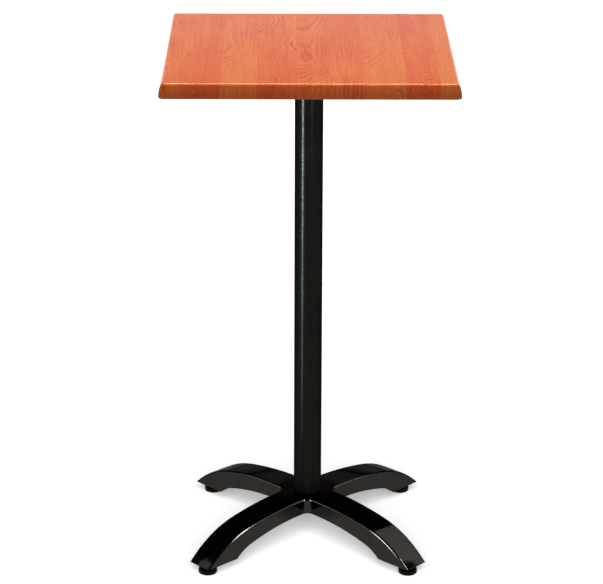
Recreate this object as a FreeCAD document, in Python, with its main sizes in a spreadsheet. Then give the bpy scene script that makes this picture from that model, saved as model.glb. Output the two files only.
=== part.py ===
"""Bar table: a moulded square top on a steel column over a cast four-arm base.

Frame: +Z up, origin on the floor under the middle of the column, top edges along X and Y,
base arms on the diagonals. All lengths are in millimetres and all angles in degrees.
"""
import FreeCAD
import Part
import Sketcher

import math
import os
import re

DRIVING_SIZES = (
    # Whole table
    ("overall_height", 1100, "floor to top face"),
    ("overrun", 5, "how far every cut runs past the material"),
    # Table top, moulded in one piece
    ("top_width", 600, "widest outline of the square top, at its lower edge"),
    ("top_corner_radius", 12, "plan radius of the four corners"),
    ("edge_height", 30, "height of the down-turned edge"),
    ("edge_bow_radius", 55, "bow of the edge in section"),
    ("edge_top_radius", 6, "rounding between edge and top face"),
    ("edge_bottom_radius", 2.5, "rounding of the lower edge"),
    ("panel_thickness", 20, "thickness inside the rim"),
    ("rim_width", 28, "width of the rim seen from below"),
    ("recess_corner_radius", 10, "plan radius of the recess corners"),
    # Spider that carries the top
    ("spider_reach", 160, "column axis to the end of a spider arm"),
    ("spider_root_width", 46, "width of a spider arm at the flange"),
    ("spider_tip_width", 32, "width of a spider arm at its end"),
    ("spider_end_radius", 10, "corner radius at the end of a spider arm"),
    ("spider_thickness", 8, "thickness of the spider arms"),
    ("spider_flange_diameter", 66, "flange over the column"),
    ("spider_flange_height", 16, "height of the flange"),
    ("spider_spigot_length", 20, "length of the spider's spigot in the column"),
    ("spider_rib_thickness", 7, "thickness of the rib under each arm"),
    ("spider_rib_reach", 84, "column axis to the end of a rib"),
    ("nut_recess_diameter", 36, "recess for the upper nut and washers"),
    ("outer_screw_inset", 18, "outer screws to the end of a spider arm"),
    ("screw_spacing", 44, "between the two screws of a spider arm"),
    # Wood screws through the spider
    ("screw_diameter", 4, "shank"),
    ("screw_length", 20, "under the head"),
    ("screw_point_length", 5, "tapered point of a screw"),
    ("screw_head_diameter", 8, "pan head"),
    ("screw_head_height", 2.8, "pan head"),
    ("screw_head_rounding", 1.5, "edge of the pan head"),
    ("drive_slot_width", 1.1, "cross slot in the head"),
    ("drive_slot_length", 4.6, "cross slot in the head"),
    ("drive_slot_depth", 1.5, "cross slot in the head"),
    # Column and tie rod
    ("column_diameter", 60, "outside of the tube"),
    ("column_wall", 2, "wall of the tube"),
    ("rod_diameter", 10, "tie rod through the column"),
    ("rod_hole_diameter", 11, "hole for the tie rod"),
    ("rod_projection", 3, "tie rod past each nut"),
    ("rod_chamfer", 1, "both ends of the tie rod"),
    ("nut_width", 17, "across the flats"),
    ("nut_height", 8, "tie rod nuts"),
    ("nut_chamfer", 1, "corners of the tie rod nuts"),
    ("washer_diameter", 30, "flat washers"),
    ("washer_thickness", 2.5, "flat washers"),
    ("lock_washer_diameter", 18, "split lock washers"),
    ("lock_washer_thickness", 2.2, "split lock washers"),
    ("lock_washer_split", 2, "gap in a lock washer"),
    # Base casting
    ("hub_height", 99, "floor to the seat of the column"),
    ("hub_seat_radius", 65, "flat round the column"),
    ("hub_underside", 65.5, "floor to the underside of the hub"),
    ("crown_drop", 12.5, "height that the back of an arm loses from hub to knee"),
    ("knee_setback", 97, "start of the knee to the foot axis"),
    ("knee_radius", 235, "back of an arm at the knee"),
    ("toe_angle", 41, "slope of the back of an arm at its toe, in degrees"),
    ("toe_overhang", 25.5, "foot axis to the end of an arm"),
    ("boss_underside", 22.5, "floor to the underside of a foot boss"),
    ("underside_flat_radius", 60, "flat underside round the hub"),
    ("underside_drop", 21, "height that the lower edge of an arm loses from hub to heel"),
    ("heel_setback", 93, "where the lower edge turns down to the foot axis"),
    ("heel_radius", 91, "lower edge of an arm where it turns down"),
    ("arm_root_width", 72.5, "width of an arm at the hub"),
    ("arm_toe_width", 60.5, "width of an arm at its end"),
    ("crotch_radius", 15, "plan radius between two arms"),
    ("arm_edge_radius", 4.5, "rounding along the back of an arm"),
    ("casting_wall", 6, "walls of the hollow arms"),
    ("boss_wall", 14, "wall between the hollow and the heel of a boss"),
    ("hub_boss_diameter", 64, "boss under the column"),
    ("arm_rib_thickness", 6, "rib inside each arm"),
    ("base_spigot_length", 15, "length of the casting's spigot in the column"),
    # Levelling feet
    ("foot_circle_radius", 302, "column axis to a foot"),
    ("pad_diameter", 40, "foot pad"),
    ("pad_height", 13, "foot pad without its neck"),
    ("pad_top_rounding", 4.5, "upper edge of a pad"),
    ("pad_bottom_rounding", 3.5, "lower edge of a pad"),
    ("pad_neck_diameter", 17, "neck of a pad"),
    ("pad_neck_height", 3, "neck of a pad"),
    ("pad_sole", 5, "plastic under the head of the stud"),
    ("stud_diameter", 8, "threaded stud"),
    ("stud_reach", 10, "thread above the hexagon"),
    ("stud_chamfer", 0.8, "end of the stud"),
    ("stud_head_diameter", 12, "head held in the pad"),
    ("stud_head_height", 3.5, "head held in the pad"),
    ("hexagon_width", 13, "across the flats"),
    # Clearances
    ("spigot_clearance", 0.1, "radial, spigots in the column"),
    ("running_clearance", 0.05, "radial, threads and the stud head"),
    ("seat_gap", 0.3, "play over the stud head and under each foot boss"),
    ("hole_end_gap", 0.6, "past the end of a stud or screw"),
    ("arm_hole_clearance", 0.25, "radial, screws in the spider"),
)

ARM_COUNT = 4
DIAGONAL = 45
FOOT_ANGLES = {"front_left": 225, "front_right": 315, "back_left": 135, "back_right": 45}
ZERO = "0"
TINY = 1e-9
UPRIGHT_NORMAL_SHARE = 0.01

document = FreeCAD.newDocument("bar_table")
sheet = document.addObject("Spreadsheet::Sheet", "Sizes")
alias_names = set()
for row, (alias, size, meaning) in enumerate(DRIVING_SIZES, start=1):
    sheet.set(f"A{row}", meaning)
    sheet.set(f"B{row}", str(size))
    sheet.setAlias(f"B{row}", alias)
    alias_names.add(alias)
document.recompute()


def bound(text):
    """The expression with every size name pointed at its spreadsheet cell."""
    return re.sub(r"[a-z_]+", lambda word: f"Sizes.{word[0]}" if word[0] in alias_names else word[0], text)


def value(text):
    """Present value of an expression."""
    result = sheet.evalExpression(bound(text))
    return float(getattr(result, "Value", result))


def new_body(label):
    body = document.addObject("PartDesign::Body", label)
    body.Label = label
    return body


def origin_feature(body, role):
    return next(item for item in body.Origin.OriginFeatures if item.Role == role)


def new_sketch(body, name, plane="XY_Plane", lift=ZERO):
    """Sketch on one of the body's own planes, moved along the plane's normal by lift."""
    sketch = body.newObject("Sketcher::SketchObject", f"{body.Name}_{name}")
    sketch.AttachmentSupport = (origin_feature(body, plane), [""])
    sketch.MapMode = "FlatFace"
    if lift != ZERO:
        sketch.setExpression("AttachmentOffset.Base.z", bound(lift))
    return sketch


def bind(sketch, constraint, text):
    """Adds a size constraint and ties it to its expression."""
    index = sketch.addConstraint(constraint)
    sketch.setExpression(f"Constraints[{index}]", bound(text))


def pin_point(sketch, side, end, across, along):
    """Holds one end of a side at a place given by two expressions."""
    for kind, axis, text in (("DistanceX", -2, across), ("DistanceY", -1, along)):
        place = value(text)
        if abs(place) < TINY:
            sketch.addConstraint(Sketcher.Constraint("PointOnObject", side, end, axis))
        elif place > 0:
            bind(sketch, Sketcher.Constraint(kind, -1, 1, side, end, place), text)
        else:
            bind(sketch, Sketcher.Constraint(kind, side, end, -1, 1, -place), f"-({text})")


def arc_centre(start, finish, radius, turn):
    """Centre of the shorter arc from start to finish that turns left or right."""
    chord = finish - start
    middle = (start + finish) * 0.5
    height = math.sqrt(radius ** 2 - (chord.Length / 2) ** 2)
    sideways = FreeCAD.Vector(-chord.y, chord.x, 0).normalize() * height
    return middle + sideways if turn == "left" else middle - sideways


def draw_outline(sketch, corners):
    """Closed outline. A corner is (x, y), or (x, y, radius, turn) if an arc leaves it."""
    places = [FreeCAD.Vector(value(corner[0]), value(corner[1]), 0) for corner in corners]
    ends = []
    for number, corner in enumerate(corners):
        start = places[number]
        finish = places[(number + 1) % len(corners)]
        if len(corner) == 2:
            side = sketch.addGeometry(Part.LineSegment(start, finish))
            ends.append((side, 1, 2))
            continue
        radius = value(corner[2])
        centre = arc_centre(start, finish, radius, corner[3])
        angles = [math.atan2(point.y - centre.y, point.x - centre.x) for point in (start, finish)]
        if corner[3] == "right":
            angles.reverse()
        circle = Part.Circle(centre, FreeCAD.Vector(0, 0, 1), radius)
        side = sketch.addGeometry(Part.ArcOfCircle(circle, angles[0], angles[1]))
        ends.append((side, 1, 2) if corner[3] == "left" else (side, 2, 1))
        bind(sketch, Sketcher.Constraint("Radius", side, radius), corner[2])
    for number, corner in enumerate(corners):
        side, first, last = ends[number]
        following, following_first, _ = ends[(number + 1) % len(corners)]
        sketch.addConstraint(Sketcher.Constraint("Coincident", side, last, following, following_first))
        pin_point(sketch, side, first, corner[0], corner[1])
    return sketch


def draw_circle(sketch, across, along, radius):
    centre = FreeCAD.Vector(value(across), value(along), 0)
    circle = sketch.addGeometry(Part.Circle(centre, FreeCAD.Vector(0, 0, 1), value(radius)))
    pin_point(sketch, circle, 3, across, along)
    bind(sketch, Sketcher.Constraint("Radius", circle, value(radius)), radius)
    return sketch


def rounded_rectangle(half_width, half_depth, radius):
    """Corners of a rectangle with rounded corners, anticlockwise from its right side."""
    points = []
    for across, along, first_is_side in ((1, 1, True), (-1, 1, False), (-1, -1, True), (1, -1, False)):
        side_point = (f"{across}*({half_width})", f"{along}*({half_depth} - {radius})")
        end_point = (f"{across}*({half_width} - {radius})", f"{along}*({half_depth})")
        leaving, arriving = (side_point, end_point) if first_is_side else (end_point, side_point)
        points.append((*leaving, radius, "left"))
        points.append(arriving)
    return points


def hexagon(width):
    """Corners of a hexagon of the given width across its flats."""
    return [(f"({width})/sqrt(3)*cos({30 + 60 * turn})", f"({width})/sqrt(3)*sin({30 + 60 * turn})")
            for turn in range(6)]


def add_feature(body, kind, name, removes=None, **settings):
    """Adds a feature, makes it the tip, and checks that it adds or removes material."""
    before = body.Shape.Volume if body.Tip else 0.0
    feature = body.newObject(f"PartDesign::{kind}", f"{body.Name}_{name}")
    for setting, content in settings.items():
        if setting in ("Length", "Radius", "Size"):
            feature.setExpression(setting, bound(content))
        else:
            setattr(feature, setting, content)
    body.Tip = feature
    document.recompute()
    change = body.Shape.Volume - before
    if removes is not None and (change < -TINY) != removes:
        raise RuntimeError(f"{feature.Name} changed the volume by {change:.1f}")
    return feature


def pad(body, sketch, length, name="pad", reverse=False):
    return add_feature(body, "Pad", name, False, Profile=sketch, Length=length, Reversed=reverse)


def pocket(body, sketch, length, name="pocket", reverse=False):
    return add_feature(body, "Pocket", name, True, Profile=sketch, Length=length, Reversed=reverse)


def revolve(body, sketch, name="turned"):
    """Turns a sketch drawn on the XZ plane about the vertical axis."""
    return add_feature(body, "Revolution", name, False, Profile=sketch,
                       ReferenceAxis=(sketch, ["V_Axis"]), Angle=360)


def groove(body, sketch, name="groove"):
    return add_feature(body, "Groove", name, True, Profile=sketch,
                       ReferenceAxis=(sketch, ["V_Axis"]), Angle=360)


def polar_pattern(body, features, count, name="pattern", removes=None):
    return add_feature(body, "PolarPattern", name, removes, Originals=features,
                       Axis=(origin_feature(body, "Z_Axis"), [""]), Angle=360, Occurrences=count)


def edges_where(body, wanted):
    """Names of the body's edges that a test picks."""
    return [f"Edge{number}" for number, edge in enumerate(body.Shape.Edges, start=1) if wanted(edge)]


def is_upright(edge):
    first, last = (vertex.Point for vertex in edge.Vertexes[:1] + edge.Vertexes[-1:])
    return math.hypot(first.x - last.x, first.y - last.y) < TINY < abs(first.z - last.z)


def fillet(body, edge_names, radius, name="fillet"):
    return add_feature(body, "Fillet", name, Base=(body.Tip, edge_names), Radius=radius)


def chamfer(body, edge_names, size, name="chamfer"):
    return add_feature(body, "Chamfer", name, Base=(body.Tip, edge_names), Size=size)


def place(item, height=ZERO, radius=None, angle=0):
    """Turns a sub-part by an angle and puts it at a height and, if wanted, out on a circle."""
    item.Placement = FreeCAD.Placement(FreeCAD.Vector(), FreeCAD.Rotation(FreeCAD.Vector(0, 0, 1), angle))
    if height != ZERO:
        item.setExpression("Placement.Base.z", bound(height))
    if radius is not None:
        item.setExpression("Placement.Base.x", bound(f"{radius}*cos({angle})"))
        item.setExpression("Placement.Base.y", bound(f"{radius}*sin({angle})"))
    return item


PANEL_UNDERSIDE = "(overall_height - panel_thickness)"
COLUMN_TOP = f"({PANEL_UNDERSIDE} - spider_flange_height)"
COLUMN_BORE_RADIUS = "(column_diameter/2 - column_wall)"
SPIGOT_RADIUS = f"({COLUMN_BORE_RADIUS} - spigot_clearance)"
THREAD_HOLE_RADIUS = "(rod_diameter/2 + running_clearance)"
OUTER_SCREW_RADIUS = "(spider_reach - outer_screw_inset)"
INNER_SCREW_RADIUS = f"({OUTER_SCREW_RADIUS} - screw_spacing)"


def make_table_top():
    """Square panel with a bowed, down-turned rim; its origin is at the rim's lower face."""
    body = new_body("table_top")
    half = "top_width/2"
    blank = draw_outline(new_sketch(body, "blank"), rounded_rectangle(
        f"({half} + overrun)", f"({half} + overrun)", "(top_corner_radius + overrun)"))
    pad(body, blank, "edge_height")

    bow_rise = "(edge_height - edge_top_radius - edge_bottom_radius)"
    centre_gap = "(edge_bow_radius - edge_top_radius)"
    centre_run = f"sqrt({centre_gap}^2 - {bow_rise}^2)"
    bow_centre = f"({half} - edge_bow_radius)"
    outside = f"({half} + 2*overrun)"
    section = draw_outline(new_sketch(body, "edge_section", "XZ_Plane"), [
        (f"{half} - edge_bottom_radius", "-overrun"),
        (outside, "-overrun"),
        (outside, "edge_height + overrun"),
        (f"{bow_centre} + {centre_run}", "edge_height + overrun"),
        (f"{bow_centre} + {centre_run}", "edge_height", "edge_top_radius", "right"),
        (f"{bow_centre} + {centre_run}*edge_bow_radius/{centre_gap}",
         f"edge_bottom_radius + {bow_rise}*edge_bow_radius/{centre_gap}", "edge_bow_radius", "right"),
        (half, "edge_bottom_radius", "edge_bottom_radius", "right"),
        (f"{half} - edge_bottom_radius", ZERO),
    ])
    right_side, *other_sides = rounded_rectangle(half, half, "top_corner_radius")
    path = draw_outline(new_sketch(body, "edge_path"), [(half, ZERO), right_side, *other_sides])
    round_trip = [f"Edge{number + 1}" for number in range(path.GeometryCount)]
    add_feature(body, "SubtractivePipe", "edge", True, Profile=section, Spine=(path, round_trip))

    inner = f"({half} - rim_width)"
    recess = draw_outline(new_sketch(body, "recess"), rounded_rectangle(inner, inner, "recess_corner_radius"))
    pocket(body, recess, "edge_height - panel_thickness", "recess", reverse=True)

    holes = new_sketch(body, "pilot_holes", lift="edge_height - panel_thickness")
    for radius in (INNER_SCREW_RADIUS, OUTER_SCREW_RADIUS):
        for arm in range(ARM_COUNT):
            angle = DIAGONAL + arm * 360 / ARM_COUNT
            draw_circle(holes, f"{radius}*cos({angle})", f"{radius}*sin({angle})",
                        "screw_diameter/2 + running_clearance")
    pocket(body, holes, "screw_length - spider_thickness + hole_end_gap", "pilot_holes", reverse=True)
    return place(body, "overall_height - edge_height")


def make_top_spider():
    """Four-arm plate with a flange and a spigot for the column; its origin is at its top face."""
    body = new_body("top_spider")
    hole = "rod_hole_diameter/2"
    flange = "spider_flange_diameter/2"
    floor = "-spider_flange_height"
    hub = draw_outline(new_sketch(body, "hub", "XZ_Plane"), [
        (hole, f"{floor} - spider_spigot_length"),
        (SPIGOT_RADIUS, f"{floor} - spider_spigot_length"),
        (SPIGOT_RADIUS, floor),
        (flange, floor),
        (flange, ZERO),
        ("nut_recess_diameter/2", ZERO),
        ("nut_recess_diameter/2", floor),
        (hole, floor),
    ])
    revolve(body, hub, "hub")

    root = "(nut_recess_diameter/2 + spider_flange_diameter/2)/2"
    outline = draw_outline(new_sketch(body, "arm"), [
        (root, "-spider_root_width/2"),
        ("spider_reach - spider_end_radius", "-spider_tip_width/2", "spider_end_radius", "left"),
        ("spider_reach", "-(spider_tip_width/2 - spider_end_radius)"),
        ("spider_reach", "spider_tip_width/2 - spider_end_radius", "spider_end_radius", "left"),
        ("spider_reach - spider_end_radius", "spider_tip_width/2"),
        (root, "spider_root_width/2"),
    ])
    arm = pad(body, outline, "spider_thickness", "arm", reverse=True)

    rib_outline = draw_outline(new_sketch(body, "rib", "XZ_Plane", "-spider_rib_thickness/2"), [
        (root, "-spider_flange_height"),
        (flange, "-spider_flange_height"),
        ("spider_rib_reach", "-spider_thickness"),
        ("spider_rib_reach", "-spider_thickness/2"),
        (root, "-spider_thickness/2"),
    ])
    rib = pad(body, rib_outline, "spider_rib_thickness", "rib")

    holes = new_sketch(body, "screw_holes")
    for radius in (INNER_SCREW_RADIUS, OUTER_SCREW_RADIUS):
        draw_circle(holes, radius, ZERO, "screw_diameter/2 + arm_hole_clearance")
    drilled = pocket(body, holes, "spider_thickness + overrun", "screw_holes")
    polar_pattern(body, [arm, rib, drilled], ARM_COUNT)
    return place(body, PANEL_UNDERSIDE, angle=DIAGONAL)


def make_spider_screws():
    """Two screws to each spider arm, heads down; the origin is at the underside of the arms."""
    body = new_body("spider_screws")
    body.AllowCompound = True
    shank = "screw_diameter/2"
    head = "screw_head_diameter/2"
    made = []
    for position, centre in (("inner", INNER_SCREW_RADIUS), ("outer", OUTER_SCREW_RADIUS)):
        profile = draw_outline(new_sketch(body, f"{position}_screw", "XZ_Plane"), [
            (centre, "-screw_head_height"),
            (f"{centre} + {head} - screw_head_rounding", "-screw_head_height", "screw_head_rounding", "left"),
            (f"{centre} + {head}", "screw_head_rounding - screw_head_height"),
            (f"{centre} + {head}", ZERO),
            (f"{centre} + {shank}", ZERO),
            (f"{centre} + {shank}", "screw_length - screw_point_length"),
            (centre, "screw_length"),
        ])
        side_on_axis = f"Edge{profile.GeometryCount}"
        made.append(add_feature(body, "Revolution", f"{position}_screw", False, Profile=profile,
                                ReferenceAxis=(profile, [side_on_axis]), Angle=360))
        for number, (across, along) in enumerate((("drive_slot_length", "drive_slot_width"),
                                                  ("drive_slot_width", "drive_slot_length"))):
            slot = draw_outline(new_sketch(body, f"{position}_slot{number}", lift="-screw_head_height"), [
                (f"{centre} - {across}/2", f"-{along}/2"),
                (f"{centre} + {across}/2", f"-{along}/2"),
                (f"{centre} + {across}/2", f"{along}/2"),
                (f"{centre} - {across}/2", f"{along}/2"),
            ])
            made.append(pocket(body, slot, "drive_slot_depth", f"{position}_slot{number}", reverse=True))
    polar_pattern(body, made, ARM_COUNT)
    return place(body, f"{PANEL_UNDERSIDE} - spider_thickness", angle=DIAGONAL)


def make_column():
    body = new_body("column_tube")
    ring = new_sketch(body, "ring")
    draw_circle(ring, ZERO, ZERO, "column_diameter/2")
    draw_circle(ring, ZERO, ZERO, COLUMN_BORE_RADIUS)
    pad(body, ring, f"{COLUMN_TOP} - hub_height")
    return place(body, "hub_height")


def make_tie_rod():
    """Rod from under the lower nut to above the upper nut."""
    body = new_body("tie_rod")
    stack = "(washer_thickness + lock_washer_thickness + nut_height + rod_projection)"
    disc = draw_circle(new_sketch(body, "disc"), ZERO, ZERO, "rod_diameter/2")
    pad(body, disc, f"({COLUMN_TOP} + {stack}) - (hub_underside - {stack})")
    ends = edges_where(body, lambda edge: isinstance(edge.Curve, Part.Circle))
    chamfer(body, ends, "rod_chamfer")
    return place(body, f"hub_underside - {stack}")


def make_washer(label, height):
    body = new_body(label)
    ring = new_sketch(body, "ring")
    draw_circle(ring, ZERO, ZERO, "washer_diameter/2")
    draw_circle(ring, ZERO, ZERO, "rod_hole_diameter/2")
    pad(body, ring, "washer_thickness")
    return place(body, height)


def make_lock_washer(label, height):
    body = new_body(label)
    ring = new_sketch(body, "ring")
    draw_circle(ring, ZERO, ZERO, "lock_washer_diameter/2")
    draw_circle(ring, ZERO, ZERO, "rod_hole_diameter/2")
    pad(body, ring, "lock_washer_thickness")
    gap = draw_outline(new_sketch(body, "split"), [
        (ZERO, "-lock_washer_split/2"),
        ("lock_washer_diameter", "-lock_washer_split/2"),
        ("lock_washer_diameter", "lock_washer_split/2"),
        (ZERO, "lock_washer_split/2"),
    ])
    pocket(body, gap, "lock_washer_thickness + overrun", "split", reverse=True)
    return place(body, height)


def make_nut(label, height):
    """Hexagon with its corners turned off at both faces and a hole for the rod."""
    body = new_body(label)
    pad(body, draw_outline(new_sketch(body, "hexagon"), hexagon("nut_width")), "nut_height")
    corner = "nut_width/sqrt(3)"
    for name, face, away in (("lower", ZERO, "-overrun"), ("upper", "nut_height", "nut_height + overrun")):
        inward = "nut_chamfer*tan(30)" if name == "lower" else "nut_height - nut_chamfer*tan(30)"
        turned = draw_outline(new_sketch(body, f"{name}_corners", "XZ_Plane"), [
            (f"{corner} - nut_chamfer", face),
            (f"{corner}", inward),
            (f"{corner} + overrun", inward),
            (f"{corner} + overrun", away),
            (f"{corner} - nut_chamfer", away),
        ])
        groove(body, turned, f"{name}_corners")
    hole = draw_circle(new_sketch(body, "hole"), ZERO, ZERO, THREAD_HOLE_RADIUS)
    pocket(body, hole, "nut_height + overrun", "hole", reverse=True)
    return place(body, height)


TOE_RADIUS = "(foot_circle_radius + toe_overhang)"
CROWN_RUN = "(foot_circle_radius - knee_setback - hub_seat_radius)"
CROWN_RADIUS = f"(({CROWN_RUN}^2 + crown_drop^2)/(2*crown_drop))"
HEEL_START = "(foot_circle_radius - heel_setback)"
UNDERSIDE_RUN = f"({HEEL_START} - underside_flat_radius)"
UNDERSIDE_RADIUS = f"(({UNDERSIDE_RUN}^2 + underside_drop^2)/(2*underside_drop))"


def arm_back(inset):
    """Back of an arm from the axis to its toe, as a curve inset evenly into the casting."""
    crown = f"({CROWN_RADIUS} - {inset})"
    knee = f"(knee_radius - {inset})"
    run_share = f"({CROWN_RUN}/{CROWN_RADIUS})"
    rise_share = f"sqrt(1 - {run_share}^2)"
    knee_across = f"(hub_seat_radius + {crown}*{run_share})"
    knee_height = f"(hub_height - {inset} - {crown}*(1 - {rise_share}))"
    toe_across = f"({knee_across} + {knee}*(sin(toe_angle) - {run_share}))"
    toe_height = f"({knee_height} - {knee}*({rise_share} - cos(toe_angle)))"
    end = f"({TOE_RADIUS} + 4*overrun)"
    return [
        (ZERO, f"hub_height - {inset}"),
        ("hub_seat_radius", f"hub_height - {inset}", crown, "right"),
        (knee_across, knee_height, knee, "right"),
        (toe_across, toe_height),
        (end, f"{toe_height} - ({end} - {toe_across})*tan(toe_angle)"),
    ]


def cross_outline(inset, reach):
    """Plan outline of the four tapering arms, drawn along X and Y, inset into the casting."""
    corner = f"(arm_root_width/2 - {inset})"
    taper = f"((arm_root_width - arm_toe_width)/2/({TOE_RADIUS} - arm_root_width/2))"
    end_half = f"({corner} - ({reach} - {corner})*{taper})"
    points = []
    for turn in range(ARM_COUNT):
        across, along = ((1, 0), (0, 1), (-1, 0), (0, -1))[turn]
        for sign in (-1, 1):
            points.append((f"{across}*{reach} - {sign*along}*{end_half}",
                           f"{along}*{reach} + {sign*across}*{end_half}"))
        points.append((f"{across - along}*{corner}", f"{along + across}*{corner}"))
    return points


def make_base_casting():
    """Hollow four-arm casting; arms drawn along X and Y and turned to the diagonals."""
    body = new_body("casting_outside")
    blank_floor = "-6*overrun"
    blank_height = "(hub_height + 7*overrun)"
    plan = draw_outline(new_sketch(body, "plan", lift=blank_floor),
                        cross_outline(ZERO, f"({TOE_RADIUS} + 3*overrun)"))
    pad(body, plan, blank_height)
    reach_limit = value("arm_root_width")
    crotches = edges_where(body, lambda edge: is_upright(edge) and edge.CenterOfMass.Length < reach_limit)
    fillet(body, crotches, "crotch_radius", "crotches")

    top = "hub_height + 2*overrun"
    back = arm_back(ZERO)
    over = draw_outline(new_sketch(body, "back", "XZ_Plane"), back + [(back[-1][0], top), (ZERO, top)])
    groove(body, over, "back")

    def is_back_edge(edge):
        """An edge between an upright wall and the back of an arm."""
        faces = body.Shape.ancestorsOfType(edge, Part.Face)
        upright = [abs(face.normalAt(*face.Surface.parameter(edge.CenterOfMass)).z) < UPRIGHT_NORMAL_SHARE
                   for face in faces]
        inside = math.hypot(edge.CenterOfMass.x, edge.CenterOfMass.y) < value(f"{TOE_RADIUS} + 2*overrun")
        return edge.CenterOfMass.z > 0 and inside and sorted(upright) == [False, True]

    fillet(body, edges_where(body, is_back_edge), "arm_edge_radius", "back_edges")

    turn_share = f"({UNDERSIDE_RUN}/{UNDERSIDE_RADIUS})"
    turn_height = "(hub_underside - underside_drop)"
    heel_cosine = f"(sqrt(1 - {turn_share}^2) - ({turn_height} - boss_underside)/heel_radius)"
    heel = f"({HEEL_START} + heel_radius*(sqrt(1 - {heel_cosine}^2) - {turn_share}))"
    beyond = f"({TOE_RADIUS} + 8*overrun)"
    under = draw_outline(new_sketch(body, "underside", "XZ_Plane"), [
        (ZERO, "-8*overrun"),
        (ZERO, "hub_underside"),
        ("underside_flat_radius", "hub_underside", UNDERSIDE_RADIUS, "right"),
        (HEEL_START, turn_height, "heel_radius", "right"),
        (heel, "boss_underside"),
        (TOE_RADIUS, "boss_underside"),
        (TOE_RADIUS, "hub_height"),
        (beyond, "hub_height"),
        (beyond, "-8*overrun"),
    ])
    groove(body, under, "underside")

    spigot = draw_circle(new_sketch(body, "spigot", lift="hub_height"), ZERO, ZERO, SPIGOT_RADIUS)
    pad(body, spigot, "base_spigot_length", "spigot")
    rod_hole = draw_circle(new_sketch(body, "rod_hole"), ZERO, ZERO, "rod_hole_diameter/2")
    pocket(body, rod_hole, "hub_height + base_spigot_length + overrun", "rod_hole", reverse=True)
    tapped = draw_circle(new_sketch(body, "foot_hole", lift="boss_underside"),
                         "foot_circle_radius", ZERO, "stud_diameter/2 + running_clearance")
    drilled = pocket(body, tapped, "stud_reach - seat_gap + hole_end_gap", "foot_hole", reverse=True)
    polar_pattern(body, [drilled], ARM_COUNT, "foot_holes", True)

    core = new_body("casting_core")
    inner_end = f"({heel} - boss_wall)"
    plan = draw_outline(new_sketch(core, "plan", lift=blank_floor), cross_outline("casting_wall", inner_end))
    pad(core, plan, blank_height)
    back = arm_back("casting_wall")
    over = draw_outline(new_sketch(core, "back", "XZ_Plane"), back + [(back[-1][0], top), (ZERO, top)])
    groove(core, over, "back")
    boss = draw_circle(new_sketch(core, "boss", lift=blank_floor), ZERO, ZERO, "hub_boss_diameter/2")
    pocket(core, boss, blank_height, "boss", reverse=True)
    core.AllowCompound = True
    rib = draw_outline(new_sketch(core, "rib", lift=blank_floor), [
        (ZERO, "-arm_rib_thickness/2"),
        (f"{inner_end} + overrun", "-arm_rib_thickness/2"),
        (f"{inner_end} + overrun", "arm_rib_thickness/2"),
        (ZERO, "arm_rib_thickness/2"),
    ])
    ribs = pocket(core, rib, blank_height, "rib", reverse=True)
    polar_pattern(core, [ribs], ARM_COUNT, "ribs", True)

    casting = document.addObject("Part::Cut", "base_casting")
    casting.Base = body
    casting.Tool = core
    return place(casting, angle=DIAGONAL)


PAD_TOP = "(pad_height + pad_neck_height)"
HEXAGON_FLOOR = f"({PAD_TOP} + seat_gap)"
HEXAGON_TOP = "(boss_underside - seat_gap)"


def make_foot_pad(corner, angle):
    """Moulded pad with a socket that holds the head of its stud."""
    body = new_body(f"foot_pad_{corner}")
    rim = "pad_diameter/2"
    neck = "pad_neck_diameter/2"
    throat = "stud_diameter/2 + seat_gap"
    socket = "stud_head_diameter/2 + running_clearance"
    socket_top = "pad_sole + stud_head_height + seat_gap"
    profile = draw_outline(new_sketch(body, "profile", "XZ_Plane"), [
        (ZERO, ZERO),
        (f"{rim} - pad_bottom_rounding", ZERO, "pad_bottom_rounding", "left"),
        (rim, "pad_bottom_rounding"),
        (rim, "pad_height - pad_top_rounding", "pad_top_rounding", "left"),
        (f"{rim} - pad_top_rounding", "pad_height"),
        (neck, "pad_height"),
        (neck, PAD_TOP),
        (throat, PAD_TOP),
        (throat, socket_top),
        (socket, socket_top),
        (socket, "pad_sole"),
        (ZERO, "pad_sole"),
    ])
    revolve(body, profile)
    return place(body, radius="foot_circle_radius", angle=angle)


def make_foot_stud(corner, angle):
    """Threaded stud with a hexagon to turn it and a flat head that sits in the pad."""
    body = new_body(f"foot_stud_{corner}")
    shank = "stud_diameter/2"
    head = "stud_head_diameter/2"
    profile = draw_outline(new_sketch(body, "profile", "XZ_Plane"), [
        (ZERO, "pad_sole"),
        (head, "pad_sole"),
        (head, "pad_sole + stud_head_height"),
        (shank, "pad_sole + stud_head_height"),
        (shank, f"{HEXAGON_TOP} + stud_reach - stud_chamfer"),
        (f"{shank} - stud_chamfer", f"{HEXAGON_TOP} + stud_reach"),
        (ZERO, f"{HEXAGON_TOP} + stud_reach"),
    ])
    revolve(body, profile)
    flats = draw_outline(new_sketch(body, "flats", lift=HEXAGON_FLOOR), hexagon("hexagon_width"))
    pad(body, flats, f"{HEXAGON_TOP} - {HEXAGON_FLOOR}", "flats")
    return place(body, radius="foot_circle_radius", angle=angle)


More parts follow.
